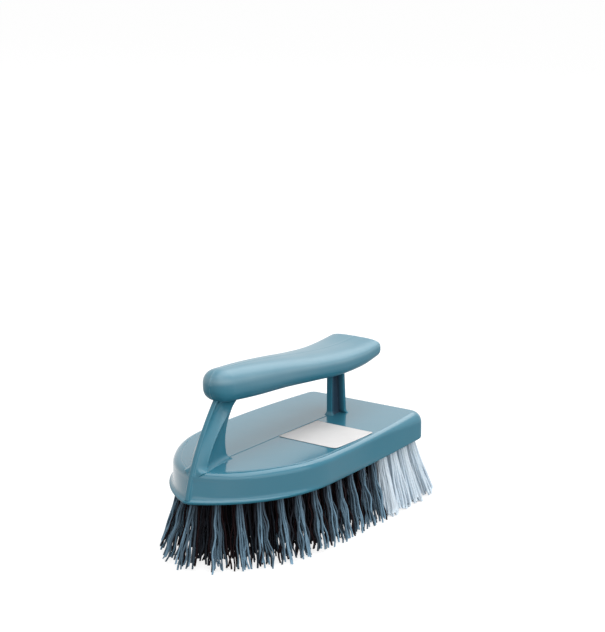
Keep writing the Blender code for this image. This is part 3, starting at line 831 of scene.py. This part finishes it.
# %% Make the further tufts
for kind, white in (("further_teal", False), ("further_white", True)):
    made = [strand_lines(place, lean, white_strands if white else inner_strands, white)
            for place, lean in further if (place[0] > white_from_x) == white]
    lines, outward = (np.concatenate(part) for part in zip(*made))
    tone = tones(outward, False, white)
    tuft_pieces[kind] = strand_tubes("bristles_" + kind, lines, tone, thickness_of(white))
    print(kind, "tufts have", len(lines), "strands")

# %% [markdown]
# ## The paper label
#
# A plain square of white paper is stuck on the top. One flat face would do from afar, but paper has a cut
# edge, and its corners never lie quite flat, so the sheet is a fine grid with its corners lifted by a hair,
# and it has a real thickness.

# %% Make the label
label_low, label_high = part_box("paper_label")
label_center = (label_low + label_high) / 2
label_length = 0.0315
label_width = 0.0335
label_turn = math.radians(-1.5)
label_thickness = 0.00012
label_rest_height = 0.00012
corner_lift = 0.00025
corner_cut_share = 0.018
paper_wave = 0.00003
label_steps = 41


def label_grid():
    """A square sheet: u and v run from -1 to 1, so that |u v| is 1 at a corner.

    Each corner rises by |u v|^8 of the lift and is cut back by |u v|^40 of its share, and the paper waves
    as sin(3 u + 2 v).
    """
    across = np.linspace(-1.0, 1.0, label_steps)
    u, v = np.meshgrid(across, across, indexing="ij")
    round_off = 1 - corner_cut_share * np.abs(u * v) ** 40
    lift = label_rest_height + corner_lift * np.abs(u * v) ** 8 + paper_wave * np.sin(3 * u + 2 * v)
    x = u * round_off * label_length / 2
    y = v * round_off * label_width / 2
    turned_x = label_center.x + x * math.cos(label_turn) - y * math.sin(label_turn)
    turned_y = label_center.y + x * math.sin(label_turn) + y * math.cos(label_turn)
    return np.stack([turned_x, turned_y, top_z + lift], axis=-1)


corner = np.arange(label_steps - 1)[:, None] * label_steps + np.arange(label_steps - 1)[None, :]
faces = np.stack([corner, corner + label_steps, corner + label_steps + 1, corner + 1], axis=-1)
label = piece_from_faces("blank_label", label_grid(), faces.reshape(-1, 4).tolist())
thickness = label.modifiers.new("paper", "SOLIDIFY")
thickness.thickness = label_thickness
thickness.offset = 1.0
print("label is", label_length, "by", label_width, "m")

# %% [markdown]
# ## Finishes
#
# A finish is a small program of nodes. Two helpers keep it readable: a signal is a value that varies over
# the surface, and arithmetic on it adds the Math nodes, while a finish adds any other node by its type.

# %% A value that varies
class Signal:
    """A value that varies over a surface. Arithmetic on it adds Math nodes to its finish."""

    def __init__(self, finish, socket):
        self.finish, self.socket = finish, socket

    def math(self, operation, first, second=0.0):
        """Adds a Math node that works on two values."""
        return self.finish.node("ShaderNodeMath", {"operation": operation}, {0: first, 1: second})

    def __add__(self, other): return self.math("ADD", self, other)
    def __radd__(self, other): return self.math("ADD", other, self)
    def __sub__(self, other): return self.math("SUBTRACT", self, other)
    def __rsub__(self, other): return self.math("SUBTRACT", other, self)
    def __mul__(self, other): return self.math("MULTIPLY", self, other)
    def __rmul__(self, other): return self.math("MULTIPLY", other, self)
    def __truediv__(self, other): return self.math("DIVIDE", self, other)
    def __rtruediv__(self, other): return self.math("DIVIDE", other, self)
    def __pow__(self, other): return self.math("POWER", self, other)
    def magnitude(self): return self.math("ABSOLUTE", self)
    def clamped(self): return self.finish.node("ShaderNodeClamp", {}, {"Value": self})

# %% A finish
class Finish:
    """A material and its Principled shader, with one method that adds any other node."""

    def __init__(self, name):
        self.material = bpy.data.materials.new(name)
        self.material.use_nodes = True
        self.tree = self.material.node_tree
        self.shader = self.tree.nodes["Principled BSDF"]
        self.place = self.node("ShaderNodeTexCoord", {}, {}, "Object")
        self.face = self.node("ShaderNodeTexCoord", {}, {}, "Normal")

    def node(self, kind, settings, inputs, output=0):
        """Adds a node of a kind, changes its settings, feeds its inputs and gives one of its outputs."""
        made = self.tree.nodes.new(kind)
        for key, value in settings.items():
            setattr(made, key, value)
        for key, value in inputs.items():
            self.feed(made.inputs[key], value)
        return Signal(self, made.outputs[output])

    def feed(self, socket, value):
        """Links a signal to a socket, or writes a plain value into it."""
        if isinstance(value, Signal):
            self.tree.links.new(value.socket, socket)
        else:
            socket.default_value = value

    def set(self, **values):
        """Feeds the shader's sockets by name, with _ for a space."""
        for key, value in values.items():
            self.feed(self.shader.inputs[key.replace("_", " ")], value)

    def part(self, vector, index):
        """One coordinate of a place or direction: 0, 1 or 2 for x, y or z."""
        return self.node("ShaderNodeSeparateXYZ", {}, {"Vector": vector}, index)

    def noise(self, scale, detail=2.0):
        """A cloudy pattern from 0 to 1 with about so many patches to the metre."""
        return self.node("ShaderNodeTexNoise", {}, {"Vector": self.place, "Scale": scale, "Detail": detail})

    def own(self, name):
        """A number that the mesh keeps for each of its points."""
        return self.node("ShaderNodeAttribute", {"attribute_name": name}, {}, "Fac")

    def mixed(self, factor, first, second):
        """The first colour where the factor is 0, and the second where it is 1."""
        return self.node("ShaderNodeMix", {"data_type": "RGBA"}, {0: factor, 6: first, 7: second}, 2)

    def bumped(self, height, distance):
        """Normals as if the height raised the surface by so many metres."""
        return self.node("ShaderNodeBump", {}, {"Height": height, "Distance": distance, "Strength": 1.0})

# %% [markdown]
# The moulding is polypropylene: a deep teal with a waxy gloss. Up close the gloss isn't even. There is a
# faint orange-peel texture from the mould, cloudier patches where the plastic flowed, and the colour drifts
# a little. The gloss is a coat over the colour. It is full on the faces that look up or forward, and
# thinner on the side walls towards the rear, which slid along the steel when the block left its mould. The
# lowest rim has lost it to the tiles, faces that look down have little of it, and the hollows of the posts
# are duller, because the cores that shaped them were rougher than the mould. On the grip a painted sheen
# pales the colour, most on its upper sides and growing along the grip from its front.

# %% Teal plastic
# The length along the grip over which the painted sheen grows.
grip_ramp_length = 0.045
slide_start = middle_x - 0.032
slide_length = 0.055
slide_loss = 0.85
rim_height = 0.0011
rim_fade = 0.0006
rim_gloss = 0.05
downward_gloss = 0.15
mould_texture_depth = 0.00005
plastic_index = 1.15
deep_teal, light_teal = (0.027, 0.156, 0.226, 1.0), (0.037, 0.182, 0.256, 1.0)
# The pale colour of the grip's painted sheen, a painted highlight.
painted_sheen_teal = (0.30, 0.42, 0.48, 1.0)


def plastic_finish(name, gloss_roughness, pale, cored):
    """Teal with a painted sheen of p w (1 - 0.75 z), and a coat whose weight is (1 - l s) (1 - c n) r b.

    Here s rises on upright faces from the middle to the rear, n on faces that look sideways, r from the
    rim's gloss to 1 above the rim, and b from the downward gloss to 1 on faces that look up. Sliding took
    the share l of the gloss, and the side cores took the share c. z is how far a face looks up, and w
    grows with z and along the grip over its first few centimetres. The pale sheen is a painted highlight.
    """
    made = Finish(name)
    drift = made.noise(scale=18.0, detail=3.0)
    flow = made.noise(scale=60.0, detail=4.0)
    peel = made.noise(scale=900.0, detail=2.0)
    upward, sideways = made.part(made.face, 2), made.part(made.face, 1).magnitude()
    along, height = made.part(made.place, 0), made.part(made.place, 2)
    slid = ((along - slide_start) / slide_length).clamped() * (1.0 - 2.5 * upward.magnitude()).clamped()
    dulled = 1.0 - cored * (3.0 * sideways - 1.8).clamped()
    rim = rim_gloss + (1.0 - rim_gloss) * ((height - underside_z - rim_height) / rim_fade).clamped()
    held = ((along - grip_front_x) / grip_ramp_length).clamped()
    beneath = (1.0 - 0.8 * pale * (1.0 - held) + 2.6 * upward).clamped()
    beneath = downward_gloss + (1.0 - downward_gloss) * beneath
    coat = (1.0 - slide_loss * slid) * dulled * rim * beneath
    # Painted sheen: a paler colour on the grip's upper sides stands in for the lamps' broad highlight.
    painted_sheen = (0.06 + 0.30 * held + (3.0 - held) * upward).clamped()
    painted_sheen = (pale * painted_sheen * (1.0 - 0.75 * upward) * (0.7 + 0.6 * flow)).clamped()
    made.colour = made.mixed(painted_sheen, made.mixed(drift, deep_teal, light_teal), painted_sheen_teal)
    made.set(Base_Color=made.colour, Roughness=0.30 + 0.10 * flow, IOR=plastic_index, Coat_Weight=coat,
             Coat_Roughness=gloss_roughness, Normal=made.bumped(0.8 * flow + 0.2 * peel, mould_texture_depth))
    return made


block_plastic = plastic_finish("teal_block_plastic", gloss_roughness=0.13, pale=0.0, cored=0.35)
grip_plastic = plastic_finish("teal_grip_plastic", gloss_roughness=0.36, pale=0.46, cored=0.0)
post_plastic = plastic_finish("teal_post_plastic", gloss_roughness=0.30, pale=0.0, cored=0.7)
rear_post_plastic = plastic_finish("teal_rear_post_plastic", gloss_roughness=0.30, pale=0.0, cored=0.7)
print("plastic finish has", len(block_plastic.tree.nodes), "nodes")

# %% [markdown]
# Little light reaches the pockets of the rear post, so they look darker than the rest. The lamps alone don't
# darken them enough, and a second mix does the rest: it darkens the colour from the rib's front back to the
# flange, more the nearer a point is to the middle.

# %% Darken the hollow of the rear post
hollow_front_x = rear_x - rear_post_setback + 0.0003
hollow_front_fade = 0.0004
hollow_side_fade = 0.0030
hollow_shade = (0.030, 0.030, 0.052, 1.0)
along = rear_post_plastic.part(rear_post_plastic.place, 0)
across = rear_post_plastic.part(rear_post_plastic.place, 1).magnitude()
rearward = rear_post_plastic.part(rear_post_plastic.face, 0)
hollow = ((flange_half_width - across) / hollow_side_fade).clamped()
hollow = hollow * ((along - hollow_front_x) / hollow_front_fade).clamped() * (1.0 - 2.0 * rearward).clamped()
shaded = rear_post_plastic.mixed(0.8 * hollow, rear_post_plastic.colour, hollow_shade)
rear_post_plastic.set(Base_Color=shaded)
print("rear post's finish has", len(rear_post_plastic.tree.nodes), "nodes")

# %% [markdown]
# The bristles are duller than the moulding. Each strand's colour lies between a near-black, which is painted
# shadow, and a pale slate, by a tone that mixes chance with painted light from its place in the bundle. They
# darken towards the hole: painted shade where the neighbours shade them. At the rear they are white and a
# little see-through.

# %% Bristle finishes
# The dark colours are painted shadow, for strands hidden in the bundle and near the hole; the light ones are
# the strands' own colour.
shadow_teal_bristle, light_teal_bristle = (0.009, 0.003, 0.004, 1.0), (0.208, 0.344, 0.456, 1.0)
shadow_white_bristle, light_white_bristle = (0.63, 0.76, 0.86, 1.0), (0.66, 0.75, 0.83, 1.0)
streak_depth = 0.00004
bristle_index = 1.18


def bristle_finish(name, dark, light, root_share):
    """A colour between dark and light by tone (r + (1 - r) t^0.7), where t runs from 0 at the root to 1:
    painted shade that deepens towards the root.
    """
    made = Finish(name)
    streaks = made.noise(scale=500.0, detail=2.0)
    lit = root_share + (1 - root_share) * made.own("along") ** 0.7
    tone = (made.own("tone") * lit * (0.7 + 0.6 * streaks)).clamped()
    made.set(Base_Color=made.mixed(tone, dark, light), Roughness=0.45 + 0.14 * streaks,
             Normal=made.bumped(streaks, streak_depth), IOR=bristle_index)
    return made


teal_bristle = bristle_finish("teal_bristle_strands", shadow_teal_bristle, light_teal_bristle, 0.34)
white_bristle = bristle_finish("white_bristle_strands", shadow_white_bristle, light_white_bristle, 0.9)
white_bristle.set(Subsurface_Weight=0.3, Subsurface_Radius=(1.0, 1.0, 1.0), Subsurface_Scale=0.0008)
print("bristle finish has", len(teal_bristle.tree.nodes), "nodes")

# %% [markdown]
# The label's paper is a greyish white with hardly any gloss. A flat colour would look like plastic, so its
# white drifts a little in patches, and fine fibres roughen it.

# %% Paper
dim_paper, bright_paper = (0.575, 0.565, 0.56, 1.0), (0.65, 0.64, 0.635, 1.0)
paper = Finish("white_label_paper")
fibre_depth = 0.00002
fibre = paper.noise(scale=1500.0, detail=3.0)
cloud = paper.noise(scale=120.0, detail=2.0)
paper.set(Base_Color=paper.mixed(cloud, dim_paper, bright_paper), Roughness=0.55 + 0.15 * fibre,
          Normal=paper.bumped(fibre, fibre_depth))
print("paper finish has", len(paper.tree.nodes), "nodes")

# %% [markdown]
# ## Put it together
#
# Every piece gets its finish, rides on the brush's one body, and stands in for the plain solid it covers.

# %% Dress and attach the pieces
def dress(piece, finish):
    """Gives a piece its finish and material slot, and lets it ride on the one body."""
    piece.data.materials.append(finish.material)
    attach(piece, "root")


moulded_skins = ((block, block_plastic), (grip, grip_plastic), (front_post, post_plastic),
                 (rear_post, rear_post_plastic))
for piece, finish in moulded_skins:
    dress(piece, finish)
    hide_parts("brush_body")
dress(label, paper)
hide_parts("paper_label")
for name, piece in tuft_pieces.items():
    white = name == "further_white"
    if name in tufts:
        white = is_white(name)
        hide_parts(name)
    dress(piece, white_bristle if white else teal_bristle)
print("pieces:", len(moulded_skins) + 1 + len(tuft_pieces))

# %% [markdown]
# ## The studio
#
# The brush stands on a white floor in a white room. Its top face is seen at a shallow angle, where even
# plain plastic mirrors a quarter of the light, so most of its pale sheen is the room's reflection. The
# floor and the room look white to the camera and in reflections, while the light that falls on the brush
# stays moderate.

# %% The floor
def seen_directly(tree):
    """1 for rays from the camera, mirrored rays and rays through glass, and 0 for the rest."""
    path = tree.nodes.new("ShaderNodeLightPath")
    either = tree.nodes.new("ShaderNodeMath")
    either.operation = "MAXIMUM"
    tree.links.new(path.outputs["Is Camera Ray"], either.inputs[0])
    tree.links.new(path.outputs["Is Glossy Ray"], either.inputs[1])
    every = tree.nodes.new("ShaderNodeMath")
    every.operation = "MAXIMUM"
    tree.links.new(either.outputs[0], every.inputs[0])
    tree.links.new(path.outputs["Is Transmission Ray"], every.inputs[1])
    return every.outputs[0]


half_floor = 8.0
floor_colour, floor_light = (0.30, 0.30, 0.30, 1.0), (0.82, 0.82, 0.82, 1.0)
floor_corners = [(x * half_floor, y * half_floor, 0.0) for x, y in ((-1, -1), (1, -1), (1, 1), (-1, 1))]
floor_mesh = bpy.data.meshes.new("floor")
floor_mesh.from_pydata(floor_corners, [], [(0, 1, 2, 3)])
floor = bpy.data.objects.new("floor", floor_mesh)
bpy.context.scene.collection.objects.link(floor)
floor_finish = Finish("white_floor")
floor_finish.set(Base_Color=floor_colour, Roughness=0.9, Specular_IOR_Level=0.0, Emission_Color=floor_light)
floor_strength = floor_finish.shader.inputs["Emission Strength"]
floor_finish.tree.links.new(seen_directly(floor_finish.tree), floor_strength)
floor_mesh.materials.append(floor_finish.material)
print("floor is", 2 * half_floor, "m wide")

# %% The room
room_light = 0.55
world = bpy.data.worlds.new("white_room")
bpy.context.scene.world = world
world.use_nodes = True
background = world.node_tree.nodes["Background"]
background.inputs["Color"].default_value = (1.0, 1.0, 1.0, 1.0)
brightness = world.node_tree.nodes.new("ShaderNodeMapRange")
brightness.inputs["To Min"].default_value = room_light
brightness.inputs["To Max"].default_value = 1.0
world.node_tree.links.new(seen_directly(world.node_tree), brightness.inputs["Value"])
world.node_tree.links.new(brightness.outputs["Result"], background.inputs["Strength"])
print("the room lights the brush at", room_light, "of what the camera sees of it")

# %% [markdown]
# Bare bulbs would put hard shadows and small bright spots on the glossy plastic. Four large soft lamps give
# it broad highlights instead: one above for the top, one behind on the right for the tail, and two low ones
# on the near side and in front for the walls and the bristles.

# %% Soft lamps
def soft_lamp(name, place, size, watts):
    """A rectangular area lamp that faces the brush."""
    lamp = bpy.data.lights.new(name, "AREA")
    lamp.shape = "RECTANGLE"
    lamp.size, lamp.size_y = size
    lamp.energy = watts
    lamp_object = bpy.data.objects.new(name, lamp)
    bpy.context.scene.collection.objects.link(lamp_object)
    lamp_object.location = place
    lamp_object.rotation_euler = (brush_heart - Vector(place)).to_track_quat("-Z", "Y").to_euler()


lamps = {"softbox_above": ((0.03, -0.16, 0.95), (1.2, 0.72), 6.6),
         "softbox_right": ((0.98, -0.05, 0.95), (1.1, 0.8), 5.2),
         "softbox_near": ((-0.05, -1.00, 0.48), (1.0, 0.9), 3.6),
         "softbox_front": ((-0.90, -0.70, 0.62), (1.0, 0.8), 3.0)}
for name, (place, size, watts) in lamps.items():
    soft_lamp(name, place, size, watts)
bpy.context.scene.view_settings.view_transform = "Standard"
print("lamps:", len(lamps))

# %% [markdown]
# ## The size
#
# The box round the working model's solids, measured when it was loaded, is printed.

# %% Print the size
print("solid box", np.round(solid_box, 4).tolist())
